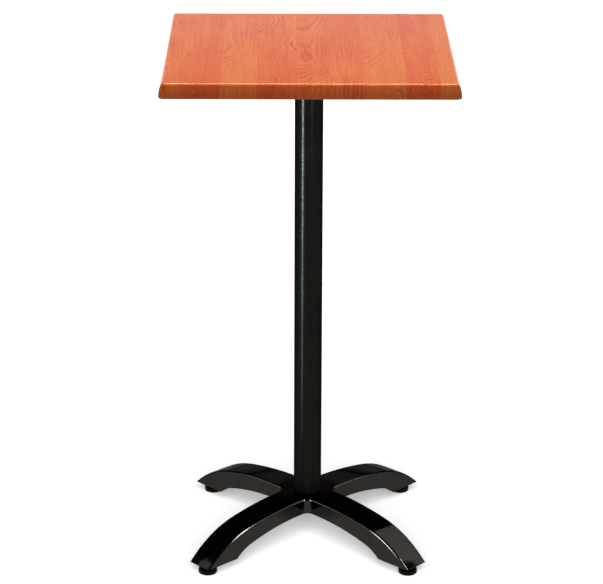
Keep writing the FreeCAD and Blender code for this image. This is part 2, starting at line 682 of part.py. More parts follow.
def make_all():
    nodes = [make_table_top(), make_top_spider(), make_spider_screws(), make_column(), make_tie_rod()]
    nodes.append(make_washer("top_washer", COLUMN_TOP))
    nodes.append(make_lock_washer("top_lock_washer", f"{COLUMN_TOP} + washer_thickness"))
    nodes.append(make_nut("top_nut", f"{COLUMN_TOP} + washer_thickness + lock_washer_thickness"))
    nodes.append(make_washer("bottom_washer", "hub_underside - washer_thickness"))
    nodes.append(make_lock_washer("bottom_lock_washer",
                                  "hub_underside - washer_thickness - lock_washer_thickness"))
    nodes.append(make_nut("bottom_nut",
                          "hub_underside - washer_thickness - lock_washer_thickness - nut_height"))
    nodes.append(make_base_casting())
    for corner, angle in FOOT_ANGLES.items():
        nodes.append(make_foot_pad(corner, angle))
        nodes.append(make_foot_stud(corner, angle))
    document.recompute()
    return nodes


def write_parts(nodes):
    """Checks every object and shape, then writes one file per sub-part."""
    for item in document.Objects:
        if {"Invalid", "Error"} & set(item.State):
            raise RuntimeError(f"{item.Name} failed: {item.State}")
    for node in nodes:
        if node.Shape.isNull() or not node.Shape.isValid():
            raise RuntimeError(f"{node.Label} has no valid shape")
    os.makedirs("parts", exist_ok=True)
    for node in nodes:
        node.Shape.exportStep(f"parts/{node.Label}.step")
        box = node.Shape.BoundBox
        print(f"{node.Label}: {len(node.Shape.Solids)} solid(s), {node.Shape.Volume / 1000:.2f} cm3, "
              f"z {box.ZMin:.2f} to {box.ZMax:.2f}")


write_parts(make_all())
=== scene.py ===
"""Bar table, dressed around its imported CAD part: finishes, threaded hardware and a studio.

Everything is in metres and in the part's own frame: +Z up, floor at zero, column on the axis,
top edges along X and Y, base arms on the diagonals.
"""
import math

import bmesh
import bpy
from bpy.props import FloatProperty, FloatVectorProperty, IntProperty, PointerProperty
from mathutils import Matrix, Vector


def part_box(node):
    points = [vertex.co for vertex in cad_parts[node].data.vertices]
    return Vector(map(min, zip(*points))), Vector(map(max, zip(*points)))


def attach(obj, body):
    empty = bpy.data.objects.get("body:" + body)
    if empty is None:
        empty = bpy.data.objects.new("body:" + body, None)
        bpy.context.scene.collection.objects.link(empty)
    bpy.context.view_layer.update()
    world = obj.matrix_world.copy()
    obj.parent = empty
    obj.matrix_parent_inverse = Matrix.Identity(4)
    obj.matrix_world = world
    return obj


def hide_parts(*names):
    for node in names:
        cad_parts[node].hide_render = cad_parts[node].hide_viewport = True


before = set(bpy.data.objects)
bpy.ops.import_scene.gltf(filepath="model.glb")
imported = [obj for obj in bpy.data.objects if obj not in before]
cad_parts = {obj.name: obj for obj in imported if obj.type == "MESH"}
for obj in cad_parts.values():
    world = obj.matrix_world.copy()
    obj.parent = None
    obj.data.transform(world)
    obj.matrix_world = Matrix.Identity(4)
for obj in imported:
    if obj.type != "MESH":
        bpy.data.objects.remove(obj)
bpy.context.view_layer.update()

bl_info = {
    "name": "Bar Table",
    "version": (1, 0, 0),
    "blender": (4, 5, 0),
    "location": "View3D > Sidebar > Bar Table",
    "description": "Finishes, threaded hardware and a studio for a bar table",
    "category": "Object",
}

IMAGE_WIDTH_PX = 603
SENSOR_WIDTH_MM = 36
CAMERA_REACH = 100.0
CORNERS = ("front_left", "front_right", "back_left", "back_right")

TOP_LOW, TOP_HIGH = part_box("table_top")
TOP_FACE_HEIGHT = TOP_HIGH.z
TOP_HALF_WIDTH = TOP_HIGH.x

# How far inside the top's outer side the decor film begins to turn down, and has turned down.
TURN_START, TURN_END = 0.020, 0.006
# The backing film covers the recess, inside the rim and below the top's skin, and the rim's lower
# face with a hair of its side.
RIM_WIDTH, SKIN_DEPTH, LOWER_FACE_HAIR = 0.0275, 0.010, 0.0002

# Strips of the decor, from left to right: left side, tone at the front and at the back (0 orange
# to 1 red), seed, where the heart of the log lies, how its depth grows towards the back (half is
# level), how far the growth lines wander, and how bold they are.
LEFT, FRONT_TONE, BACK_TONE, SEED, HEART, GROWTH, WANDER, BOLDNESS = range(8)
DECOR_HALF_SPAN = 0.34
STRIPS = (
    (-0.3400, 0.50, 0.62, 0.11, -0.265, 0.62, 0.95, 0.85),
    (-0.2295, 0.96, 0.74, 0.23, -0.300, 0.56, 0.30, 0.45),
    (-0.1784, 0.02, 0.52, 0.37, -0.215, 0.36, 0.45, 0.80),
    (-0.1087, 0.74, 0.44, 0.53, -0.082, 0.58, 1.00, 1.00),
    (-0.0278, 0.62, 0.60, 0.61, -0.012, 0.36, 0.45, 0.90),
    (0.0394, 0.50, 0.92, 0.72, 0.006, 0.44, 0.35, 0.55),
    (0.1070, 0.04, 0.50, 0.83, 0.150, 0.60, 0.90, 0.75),
    (0.1890, 0.92, 0.76, 0.91, 0.226, 0.90, 0.45, 1.00),
    (0.2572, 0.04, 0.50, 0.97, 0.190, 0.53, 0.30, 0.35),
)
# Along the strips, from where to where the front tone turns into the back tone.
TONE_FRONT, TONE_BACK = -0.20, 0.16
# How far apart the slices of noise lie that the strips take.
SEED_SPREAD = 37.0
# Darkness of a growth line from the early wood, through the late wood, to the next early wood.
GROWTH_LINE = ((0.0, 0.30), (0.10, 0.0), (0.60, 0.06), (0.90, 1.0), (1.0, 0.30))
# How steeply the log lies at most, and how deep its heart lies at the least.
STEEPEST, HEART_DEPTH = 0.75, 0.022
# Drifts of the growth lines: cells to a metre across and along the grain, offset, detail.
SWAY, SWELL = (7.0, 3.4, 3.0, 0.6), (11.0, 3.6, 11.0, 0.6)
FRAY, PATCHES = (180.0, 9.0, 0.0, 1.0), (16.0, 6.0, 7.0, 2.0)
# How far the lines sway and swell, in metres, how far they fray, in rings, and how faint they get.
SWAY_REACH, SWELL_REACH, FRAY_REACH, FAINTEST = 0.16, 0.17, 0.7, 0.22
# Finer figures of the wood: cells to a metre across and along the grain.
FIBRES, CLOUDS, STREAKS, FLECKS = (1500.0, 22.0), (34.0, 6.0), (260.0, 5.0), (26.0, 9.0)
# How far clouds and streaks shift the tone of a strip.
CLOUD_TONE, STREAK_TONE = 0.34, 0.32
# Share of the cells that hold no fleck, and how dark a fleck and the fibres are at most.
FLECKLESS, FLECK_DARKNESS, FIBRE_DARKNESS = 0.70, 0.60, 0.64
# What the fibres add to the roughness, from least to most.
FIBRE_ROUGHNESS = (-0.02, 0.04)
# Depth of the relief in metres, and shares of it: growth lines, fibres, speckles of the backing.
RELIEF_DEPTH, LINE_RELIEF, FIBRE_RELIEF, SPECKLE_RELIEF = 1.4e-5, -0.6, 0.5, 4.0
# How much brighter the backing's speckles are, and how much rougher the backing is.
SPECKLE_GAIN, BACKING_ROUGHER = 1.7, 0.35

# Orange peel of an enamel: how many bumps to a metre, and how deep they are.
COLUMN_PEEL, CASTING_PEEL, SPIDER_PEEL = (900.0, 2.5e-6), (260.0, 1.0e-5), (1400.0, 3.0e-5)
SPIDER_ROUGHNESS = 0.42
# Haze of an enamel, from least to most: shares of its colour, and what it adds to its roughness.
HAZE_SHARES, HAZE_ROUGHNESS = (0.88, 1.12), (-0.012, 0.030)
# How much rougher the cast skin underneath is than its enamel, and how much higher its grains are.
CAST_ROUGHER, CAST_GRAINS = 0.38, 7.0
# How metallic and how rough the zinc plating and the blackened steel are.
ZINC_FINISH, BLACKENED_FINISH = (1.0, 0.30), (0.55, 0.36)
# Clouds in plated steel: share of its colour at the darkest, and what they add to its roughness.
CLOUD_SHARE, CLOUD_ROUGHNESS = 0.72, (-0.06, 0.12)
# Handling scratches of plated steel, to a metre along X, Y and Z.
SCRATCHES = (5200.0, 700.0, 2600.0)
# Roughness of a foot pad, from least to most.
PAD_ROUGHNESS = (0.48, 0.66)
# Colour of a foot pad's scuffs, how strong they are, and up to which height they reach.
SCUFF_COLOUR, SCUFF_STRENGTH, SCUFF_HEIGHT = (0.10, 0.095, 0.09), 0.06, 0.0045

# Share of the paper's colour in its darker fibres, and how rough it is.
PAPER_SHADE, PAPER_ROUGHNESS = 0.985, 0.9
# For reflections alone the floor is dark behind the table: where that begins, and where it ends.
DARK_BEGINS, DARK_ENDS = (0.32, 0.75), (2.6, 1.8)
# The far floor glows more, to stay white: from where, to where, and by how much.
FAR_GLOW = (0.5, 2.5, 0.35)
# Elevations between which the backdrop brightens from the horizon upwards.
HORIZON_LOW, HORIZON_HIGH = math.radians(3.0), math.radians(11.5)

# The lamp overhead: place, what it faces, width and depth, radiance, colour.
OVERHEAD = ((0.0, 0.0, 3.3), (0.0, 0.0, 1.0), (2.2, 2.2), 4.62, (1.0, 0.985, 0.97))
# The floor's own light: radiance, how wide it looks from the floor, tilt from the vertical.
FLOOR_LIGHT = (1.32, math.radians(50), math.radians(57))
# Pieces of the strip light that the column mirrors: lower end, upper end, radiance.
SIDE_STRIP = ((0.64, 1.40, 205.0), (0.50, 0.64, 150.0), (0.32, 0.50, 98.0), (0.14, 0.32, 46.0),
              (0.00, 0.14, 18.0))
# Lamps and cards that show as reflections only: name, place, what they face, width and height,
# radiance, colour, and the node that mirrors them.
MIRRORED_LAMPS = (
    ("edge_light", (0.0, 0.85, 2.15), (0.0, -0.30, 1.10), (0.90, 0.42), 34.0,
     (1.0, 0.97, 0.93), "table_top"),
    ("rim_card", (0.0, 4.5, 0.78), (0.0, 0.0, 0.78), (7.00, 1.45), 0.75,
     (1.0, 0.97, 0.95), "table_top"),
    *((f"side_strip_{number}", (-0.47, -0.40, (low + high) / 2), (0.0, 0.0, (low + high) / 2),
       (0.070, high - low), radiance, (0.70, 0.92, 1.0), "column_tube")
      for number, (low, high, radiance) in enumerate(SIDE_STRIP)),
    ("upper_strip", (0.53, -1.19, 1.00), (0.0, 0.0, 0.90), (0.36, 0.80), 9.0,
     (0.95, 1.0, 0.95), "column_tube"),
    ("warm_card", (1.54, 1.0, 1.85), (0.2, -0.2, 0.05), (1.75, 0.75), 1.65,
     (1.0, 0.92, 0.88), "base_casting"),
    ("left_card", (-1.81, 0.05, 1.42), (-0.23, -0.23, 0.03), (0.45, 0.40), 1.20,
     (1.0, 0.86, 0.80), "base_casting"),
    ("back_card", (0.0, 5.0, 1.92), (0.0, 0.1, 0.09), (2.20, 0.70), 1.0,
     (1.0, 0.90, 0.84), "base_casting"),
    ("right_rim", (1.80, -0.32, 1.08), (0.0, 0.0, 0.08), (2.20, 0.42), 7.0,
     (0.90, 0.97, 1.0), "base_casting"),
    ("left_rim", (-1.80, -0.32, 1.08), (0.0, 0.0, 0.08), (2.20, 0.42), 7.0,
     (0.90, 0.97, 1.0), "base_casting"),
    ("right_window", (1.47, -0.90, 1.30), (-0.17, -0.17, 0.07), (0.50, 1.70), 45.0,
     (0.85, 0.96, 1.0), "base_casting"),
    ("left_window", (-1.30, -1.20, 1.10), (0.17, -0.17, 0.07), (0.78, 1.10), 45.0,
     (0.85, 0.96, 1.0), "base_casting"),
)


# ---------------------------------------------------------------- sizes and colours to change

def colour_property(name, description, default):
    return FloatVectorProperty(name=name, description=description, default=default,
                               subtype="COLOR", size=3, min=0.0, max=1.0)


def factor_property(name, description, default):
    return FloatProperty(name=name, description=description, default=default,
                         subtype="FACTOR", min=0.0, max=1.0)


def length_property(name, description, default):
    return FloatProperty(name=name, description=description, default=default,
                         unit="LENGTH", subtype="DISTANCE", precision=5, min=0.0)


def angle_property(name, description, degrees):
    return FloatProperty(name=name, description=description, default=math.radians(degrees),
                         subtype="ANGLE", unit="ROTATION")


def strength_property(name, description, default):
    return FloatProperty(name=name, description=description, default=default, min=0.0)


class BarTableTopLook(bpy.types.PropertyGroup):
    orange_stave: colour_property(
        "Orange stave", "Lightest wood colour of the decor", (0.80, 0.214, 0.046))
    red_stave: colour_property(
        "Red stave", "Reddest wood colour of the decor", (0.745, 0.128, 0.029))
    grain_line: colour_property(
        "Grain line", "Colour of the growth lines", (0.56, 0.044, 0.001))
    backing: colour_property(
        "Backing", "Plain backing film under the top", (0.045, 0.026, 0.018))
    roughness: factor_property("Roughness", "Roughness of the pressed surface", 0.12)
    ring_width: length_property("Ring width", "Distance between two growth lines", 0.0070)


class BarTableMetalLook(bpy.types.PropertyGroup):
    casting: colour_property(
        "Casting", "What the base's gloss enamel mirrors", (0.0310, 0.0270, 0.0245))
    casting_roughness: factor_property("Casting roughness", "Roughness of the gloss enamel", 0.08)
    column: colour_property(
        "Column", "Half-matt enamel of the column", (0.0290, 0.0305, 0.0272))
    column_roughness: factor_property(
        "Column roughness", "Roughness of the column's enamel", 0.21)
    column_gloss: factor_property(
        "Column gloss", "Share of the column's enamel that mirrors", 0.12)
    column_glance: factor_property(
        "Column glance", "How strongly it mirrors at a glancing angle", 0.24)
    spider: colour_property("Spider", "What the spider's enamel mirrors", (0.020, 0.020, 0.020))
    glance: colour_property(
        "Glance", "How strongly gloss enamel mirrors at a glancing angle", (0.399, 0.410, 0.416))
    zinc: colour_property(
        "Zinc", "Zinc plating of the rod, nuts, washers and screws", (0.66, 0.67, 0.68))
    blackened: colour_property(
        "Blackened steel", "Studs of the levelling feet", (0.030, 0.030, 0.032))
    plastic: colour_property("Plastic", "Moulded foot pads", (0.0035, 0.0035, 0.0035))


class BarTableThreads(bpy.types.PropertyGroup):
    rod_pitch: length_property("Rod pitch", "Thread pitch of the tie rod", 0.0015)
    rod_thread_length: length_property(
        "Rod thread", "Threaded length at each end of the tie rod", 0.045)
    stud_pitch: length_property("Stud pitch", "Thread pitch of a foot stud", 0.00125)
    chamfer: length_property("Chamfer", "Chamfer at the end of a thread", 0.0009)
    steps: IntProperty(
        name="Steps", description="Sides of a thread in one turn", default=36, min=12)


class BarTableStudio(bpy.types.PropertyGroup):
    camera_place: FloatVectorProperty(
        name="Camera place", description="Where the camera stands",
        default=(-0.038, -5.18, 2.433), subtype="TRANSLATION", unit="LENGTH", size=3)
    camera_pitch: angle_property("Camera pitch", "How far the camera looks down", 19.88)
    camera_yaw: angle_property("Camera yaw", "How far the camera looks to the right", 0.26)
    camera_roll: angle_property("Camera roll", "How far the camera leans", 0.20)
    focal_px: FloatProperty(
        name="Focal length in pixels", description="At the width of the image",
        default=2570.0, min=1.0)
    floor_width: length_property("Floor width", "Side of the square floor", 60.0)
    floor: colour_property("Floor", "Colour of the paper sweep", (0.90, 0.90, 0.90))
    floor_glow: strength_property(
        "Floor glow", "Added to the floor, so that it turns white where nothing shades it", 0.34)
    bounce: colour_property(
        "Bounce", "Colour of the floor in the light that it sends up to the object",
        (0.535, 0.476, 0.448))
    behind: factor_property(
        "Behind", "Brightness, in reflections, of the floor behind the table", 0.14)
    ambient: strength_property("Ambient", "Light from all round on the object", 0.08)
    ceiling: strength_property(
        "Ceiling", "Brightness of the dark ceiling over the white backdrop", 0.03)
    horizon: strength_property("Horizon", "Brightness of the backdrop near the floor", 0.30)
    backdrop_top: angle_property(
        "Backdrop top", "Elevation at which the white backdrop has turned into the ceiling", 15.8)
    backdrop_fade: angle_property(
        "Backdrop fade", "Angle over which the backdrop turns into the ceiling", 3.0)


# ---------------------------------------------------------------- building material nodes

class Recipe:
    """Lays out the nodes of one material or world, and links them as it goes."""

    def __init__(self, owner):
        owner.use_nodes = True
        self.nodes = owner.node_tree.nodes
        self.links = owner.node_tree.links
        self.nodes.clear()

    def feed(self, socket, content):
        if isinstance(content, bpy.types.NodeSocket):
            self.links.new(content, socket)
        else:
            socket.default_value = content

    def add(self, kind, settings=None, **sockets):
        node = self.nodes.new(kind)
        for setting, content in (settings or {}).items():
            setattr(node, setting, content)
        for name, content in sockets.items():
            self.feed(node.inputs[name.replace("_", " ")], content)
        return node

    def compute(self, operation, *operands, clamp=False):
        node = self.add("ShaderNodeMath", {"operation": operation, "use_clamp": clamp})
        for socket, content in zip(node.inputs, operands):
            self.feed(socket, content)
        return node.outputs[0]

    def times(self, first, *others):
        for other in others:
            first = self.compute("MULTIPLY", first, other)
        return first

    def plus(self, first, *others):
        for other in others:
            first = self.compute("ADD", first, other)
        return first

    def minus(self, first, other):
        return self.compute("SUBTRACT", first, other)

    def larger(self, first, other):
        return self.compute("MAXIMUM", first, other)

    def size_of(self, content):
        return self.compute("ABSOLUTE", content)

    def remap(self, source, low, high, start=0.0, end=1.0, smooth=False):
        interpolation = "SMOOTHSTEP" if smooth else "LINEAR"
        node = self.add("ShaderNodeMapRange", {"interpolation_type": interpolation})
        for socket, content in zip(node.inputs, (source, low, high, start, end)):
            self.feed(socket, content)
        return node.outputs[0]

    def blend(self, share, first, second):
        node = self.add("ShaderNodeMix", {"data_type": "RGBA", "blend_type": "MIX"})
        inputs = [socket for socket in node.inputs if socket.type == "RGBA"]
        self.feed(node.inputs[0], share)
        self.feed(inputs[0], first)
        self.feed(inputs[1], second)
        return next(socket for socket in node.outputs if socket.type == "RGBA")

    def place(self, x, y, z):
        node = self.add("ShaderNodeCombineXYZ")
        for socket, content in zip(node.inputs, (x, y, z)):
            self.feed(socket, content)
        return node.outputs[0]

    def object_place(self):
        return self.add("ShaderNodeTexCoord").outputs["Object"]

    def split(self, vector):
        return self.add("ShaderNodeSeparateXYZ", Vector=vector).outputs

    def noise(self, place, scale=1.0, detail=2.0, roughness=0.5):
        node = self.add("ShaderNodeTexNoise", Vector=place, Scale=scale, Detail=detail,
                        Roughness=roughness, Distortion=0.0)
        return node.outputs[0]

    def bump(self, height, distance):
        node = self.add("ShaderNodeBump", Height=height, Distance=distance, Strength=1.0)
        return node.outputs[0]

    def surface(self, **sockets):
        shader = self.add("ShaderNodeBsdfPrincipled", **sockets)
        output = self.add("ShaderNodeOutputMaterial")
        self.links.new(shader.outputs[0], output.inputs[0])


def rgba(colour, share=1.0):
    """The colour, or a share of it, with full opacity."""
    return (*(share * part for part in colour[:3]), 1.0)


def new_material(name, kind=Recipe):
    """An empty material, and the recipe that fills it."""
    material = bpy.data.materials.new(name)
    return material, kind(material)


def dress(piece, material):
    """Puts one material in every slot of a piece."""
    if not piece.material_slots:
        piece.data.materials.append(material)
    for slot in piece.material_slots:
        slot.material = material


def dress_nodes(names, material):
    for name in names:
        dress(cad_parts[name], material)


def facing_down(recipe):
    """0 on faces that look up or sideways, 1 on faces that look well down."""
    upward = recipe.split(recipe.add("ShaderNodeNewGeometry").outputs["Normal"])[2]
    return recipe.remap(upward, -0.25, -0.6)


class Decor(Recipe):
    """Recipe of the cherry decor, laid out in the plane of its film."""

    def __init__(self, owner):
        super().__init__(owner)
        across, along, height = self.split(self.object_place())
        fallen = self.minus(TOP_FACE_HEIGHT, height)
        self.across, self.along = self.wrapped(across, fallen), self.wrapped(along, fallen)
        self.front_tone, self.back_tone, seed = self.strip_values(FRONT_TONE, BACK_TONE, SEED)
        self.growth, self.wander, self.boldness = self.strip_values(GROWTH, WANDER, BOLDNESS)
        self.layer = self.times(seed, SEED_SPREAD)

    def wrapped(self, coordinate, fallen):
        """The film follows the surface over the edge, so it goes on by the height it falls."""
        at_edge = self.remap(self.size_of(coordinate), TOP_HALF_WIDTH - TURN_START,
                             TOP_HALF_WIDTH - TURN_END, smooth=True)
        further = self.times(fallen, at_edge, self.compute("SIGN", coordinate))
        return self.plus(coordinate, further)

    def strip_values(self, *columns):
        """Values of the strip that a point lies in, one for each column of the table."""
        position = self.remap(self.across, -DECOR_HALF_SPAN, DECOR_HALF_SPAN)
        lookup = self.add("ShaderNodeValToRGB", Fac=position)
        ramp = lookup.color_ramp
        ramp.interpolation = "CONSTANT"
        while len(ramp.elements) < len(STRIPS):
            ramp.elements.new(1.0)
        for element, strip in zip(ramp.elements, STRIPS):
            element.position = (strip[LEFT] + DECOR_HALF_SPAN) / (2 * DECOR_HALF_SPAN)
            element.color = (*((strip[HEART] + 1) / 2 if column == HEART else strip[column]
                               for column in columns), 1.0)
        return self.add("ShaderNodeSeparateColor", Color=lookup.outputs["Color"]).outputs

    def stretched(self, across_scale, along_scale, offset=0.0):
        """A place for noise that runs along the grain and is new in each strip."""
        return self.place(self.times(self.across, across_scale),
                          self.times(self.along, along_scale), self.plus(self.layer, offset))

    def drift(self, across_scale, along_scale, offset, detail):
        """A slow change about zero."""
        place = self.stretched(across_scale, along_scale, offset)
        return self.minus(self.noise(place, detail=detail), 0.5)

    def growth_lines(self, ring_width):
        """Rings round the heart of a log that is cut lengthwise at a slant."""
        heart = self.remap(self.strip_values(HEART, HEART, HEART)[0], 0.0, 1.0, -1.0, 1.0)
        sway = self.times(self.drift(*SWAY), self.wander, SWAY_REACH)
        sideways = self.plus(self.minus(self.across, heart), sway)
        slant = self.times(self.minus(self.growth, 0.5), STEEPEST)
        swell = self.times(self.drift(*SWELL), self.wander, SWELL_REACH)
        near_end = self.times(self.size_of(slant), DECOR_HALF_SPAN)
        depth = self.plus(self.times(self.along, slant), self.plus(near_end, HEART_DEPTH), swell)
        squares = self.plus(self.times(sideways, sideways), self.times(depth, depth))
        rings = self.compute("DIVIDE", self.compute("SQRT", squares), ring_width)
        level = self.plus(rings, self.times(self.drift(*FRAY), FRAY_REACH))
        line = self.add("ShaderNodeValToRGB", Fac=self.compute("FRACT", level))
        shape = line.color_ramp.elements
        for end, (position, darkness) in ((0, GROWTH_LINE[0]), (1, GROWTH_LINE[-1])):
            shape[end].position, shape[end].color = position, rgba([darkness] * 3)
        for position, darkness in GROWTH_LINE[1:-1]:
            shape.new(position).color = rgba([darkness] * 3)
        patches = self.remap(self.drift(*PATCHES), -0.08, 0.14, FAINTEST, 1.0, smooth=True)
        return self.times(line.outputs["Color"], patches, self.boldness)

    def flecks(self):
        """Short dark flecks, in some cells of the grain only."""
        cells = self.add("ShaderNodeTexVoronoi", Scale=1.0, Vector=self.stretched(*FLECKS))
        chosen = self.compute("GREATER_THAN", self.split(cells.outputs["Color"])[0], FLECKLESS)
        return self.times(chosen, self.remap(cells.outputs["Distance"], 0.055, 0.02))

    def wood(self, look, lines, fibres):
        """Colour of the staves under their growth lines, fibres and flecks."""
        towards_back = self.remap(self.along, TONE_FRONT, TONE_BACK, smooth=True)
        tone = self.remap(towards_back, 0.0, 1.0, self.front_tone, self.back_tone)
        clouds = self.noise(self.stretched(*CLOUDS), detail=3.0)
        streaks = self.noise(self.stretched(*STREAKS))
        cloudy = self.remap(clouds, 0.30, 0.70, -CLOUD_TONE, CLOUD_TONE)
        streaky = self.remap(streaks, 0.30, 0.70, -STREAK_TONE, STREAK_TONE)
        shade = self.compute("ADD", self.plus(tone, cloudy), streaky, clamp=True)
        colour = self.blend(shade, rgba(look.orange_stave), rgba(look.red_stave))
        darker = (lines, self.remap(fibres, 0.45, 0.80, 0.0, FIBRE_DARKNESS),
                  self.times(self.flecks(), FLECK_DARKNESS))
        for share in darker:
            colour = self.blend(share, colour, rgba(look.grain_line))
        return colour

    def underside(self):
        """1 where the plain backing film lies: the recess, and the lower face of the rim."""
        x, y, z = self.split(self.object_place())
        middle = self.larger(self.size_of(x), self.size_of(y))
        in_recess = self.times(self.compute("LESS_THAN", middle, TOP_HALF_WIDTH - RIM_WIDTH),
                               self.compute("LESS_THAN", z, TOP_FACE_HEIGHT - SKIN_DEPTH))
        return self.larger(in_recess, self.compute("LESS_THAN", z, TOP_LOW.z + LOWER_FACE_HAIR))


def decor_material(look):
    """Cherry decor in strips of two staves each, and a plain backing film underneath."""
    material, decor = new_material("cherry_decor", Decor)
    lines = decor.growth_lines(look.ring_width)
    fibres = decor.noise(decor.stretched(*FIBRES), detail=3.0)
    wood = decor.wood(look, lines, fibres)
    below = decor.underside()
    speckle = decor.noise(decor.object_place(), scale=900.0, detail=4.0)
    backing = decor.blend(decor.remap(speckle, 0.35, 0.65), rgba(look.backing),
                          rgba(look.backing, SPECKLE_GAIN))
    roughness = decor.plus(look.roughness, decor.remap(fibres, 0.3, 0.7, *FIBRE_ROUGHNESS),
                           decor.times(below, BACKING_ROUGHER))
    relief = decor.plus(decor.times(lines, LINE_RELIEF), decor.times(fibres, FIBRE_RELIEF),
                        decor.times(speckle, below, SPECKLE_RELIEF))
    decor.surface(Base_Color=decor.blend(below, wood, backing), Roughness=roughness,
                  Specular_IOR_Level=0.13, Normal=decor.bump(relief, RELIEF_DEPTH))
    return material


def hazed(recipe, place, colour, roughness):
    """Colour and roughness of an enamel, both with a faint haze."""
    haze = recipe.noise(place, scale=14.0, detail=4.0, roughness=0.6)
    tint = recipe.blend(recipe.remap(haze, 0.30, 0.75),
                        *(rgba(colour, share) for share in HAZE_SHARES))
    return tint, recipe.plus(recipe.remap(haze, 0.35, 0.75, *HAZE_ROUGHNESS), roughness)


def half_matt_material(look):
    """Half-matt black enamel of the drawn tube, with a faint orange peel and haze."""
    material, recipe = new_material("column_enamel")
    place = recipe.object_place()
    peel_scale, peel_depth = COLUMN_PEEL
    bumps = recipe.noise(place, peel_scale)
    tint, rough = hazed(recipe, place, look.column, look.column_roughness)
    recipe.surface(Base_Color=tint, Metallic=look.column_gloss, Specular_IOR_Level=0.0,
                   Specular_Tint=rgba([look.column_glance] * 3), Roughness=rough,
                   Normal=recipe.bump(bumps, peel_depth))
    return material


def enamel_material(name, mirror, glance, roughness, peel):
    """Black gloss enamel with a faint orange peel; underneath, the rough cast skin shows.

    The colour is what the black mirrors straight on, and glance is its limit at the edges.
    """
    material, recipe = new_material(name)
    place = recipe.object_place()
    peel_scale, peel_depth = peel
    bumps = recipe.noise(place, peel_scale)
    tint, rough = hazed(recipe, place, mirror, roughness)
    below = facing_down(recipe)
    grains = recipe.noise(place, scale=650.0, detail=5.0, roughness=0.7)
    rough = recipe.plus(rough, recipe.times(below, CAST_ROUGHER))
    relief = recipe.plus(bumps, recipe.times(grains, below, CAST_GRAINS))
    recipe.surface(Base_Color=tint, Metallic=1.0, Roughness=rough, Specular_Tint=rgba(glance),
                   Normal=recipe.bump(relief, peel_depth))
    return material


def plated_material(name, colour, metallic, roughness):
    """Plated or blackened steel with a cloudy passivated skin and fine handling scratches."""
    material, recipe = new_material(name)
    place = recipe.object_place()
    clouds = recipe.noise(place, scale=240.0, detail=4.0, roughness=0.6)
    drawn = (recipe.times(part, scale) for part, scale in zip(recipe.split(place), SCRATCHES))
    scratches = recipe.noise(recipe.place(*drawn))
    rough = recipe.plus(roughness, recipe.remap(clouds, 0.3, 0.7, *CLOUD_ROUGHNESS))
    tint = recipe.blend(recipe.remap(clouds, 0.3, 0.7), rgba(colour, CLOUD_SHARE), rgba(colour))
    recipe.surface(Base_Color=tint, Metallic=metallic, Roughness=rough,
                   Normal=recipe.bump(scratches, distance=0.000006))
    return material


def plastic_material(look):
    """Matt moulded plastic with an eroded tool finish, scuffed grey near the floor."""
    material, recipe = new_material("foot_plastic")
    place = recipe.object_place()
    pebbles = recipe.noise(place, scale=2600.0, detail=3.0, roughness=0.6)
    near_floor = recipe.remap(recipe.split(place)[2], SCUFF_HEIGHT, 0.0)
    blotches = recipe.noise(place, scale=400.0, detail=4.0)
    scuffs = recipe.times(near_floor, blotches, SCUFF_STRENGTH)
    recipe.surface(Base_Color=recipe.blend(scuffs, rgba(look.plastic), rgba(SCUFF_COLOUR)),
                   Roughness=recipe.remap(pebbles, 0.3, 0.7, *PAD_ROUGHNESS),
                   Specular_IOR_Level=0.08, Normal=recipe.bump(pebbles, distance=0.00004))
    return material


# ---------------------------------------------------------------- modelling helpers

ROUND_SIDES = 48
# A thread's profile in shares of its pitch: its depth, and where its crest begins and ends.
THREAD_DEPTH, CREST_START, CREST_END = 0.6134, 0.44, 0.56
# Turns that are wound beyond a thread's length, and how many of them begin below its lower end.
SPARE_TURNS, TURNS_BELOW = 3, 1.5
# Points closer than the first are one point, and within the second they are at one height.
WELD_DISTANCE, LEVEL_TOLERANCE = 1e-6, 1e-7
SMOOTH_ANGLE = math.radians(40.0)


def start_piece():
    """Leaves edit mode and selects nothing, so that the next primitive stands alone."""
    if bpy.context.object and bpy.context.object.mode != "OBJECT":
        bpy.ops.object.mode_set(mode="OBJECT")
    bpy.ops.object.select_all(action="DESELECT")


def take(name):
    piece = bpy.context.active_object
    piece.name = name
    piece.data.name = name
    return piece


def make_active(piece):
    start_piece()
    piece.select_set(True)
    bpy.context.view_layer.objects.active = piece


def cylinder(name, radius, low, high, sides):
    """Closed upright cylinder on the axis."""
    start_piece()
    bpy.ops.mesh.primitive_cylinder_add(vertices=sides, radius=radius, depth=high - low,
                                        location=(0, 0, (low + high) / 2))
    return take(name)


def settle(piece):
    """Puts the object's place and turn into its mesh."""
    make_active(piece)
    bpy.ops.object.transform_apply(location=True, rotation=True, scale=True)
    return piece


def bevel_rims(piece, width):
    """Bevels the edges round the two end faces of an upright prism."""
    settle(piece)
    bpy.ops.object.mode_set(mode="EDIT")
    mesh = bmesh.from_edit_mesh(piece.data)
    for edge in mesh.edges:
        edge.select_set(abs(edge.verts[0].co.z - edge.verts[1].co.z) < LEVEL_TOLERANCE)
    mesh.select_flush_mode()
    bmesh.update_edit_mesh(piece.data)
    bpy.ops.mesh.bevel(offset=width, segments=1, affect="EDGES")
    bpy.ops.object.mode_set(mode="OBJECT")
    return piece


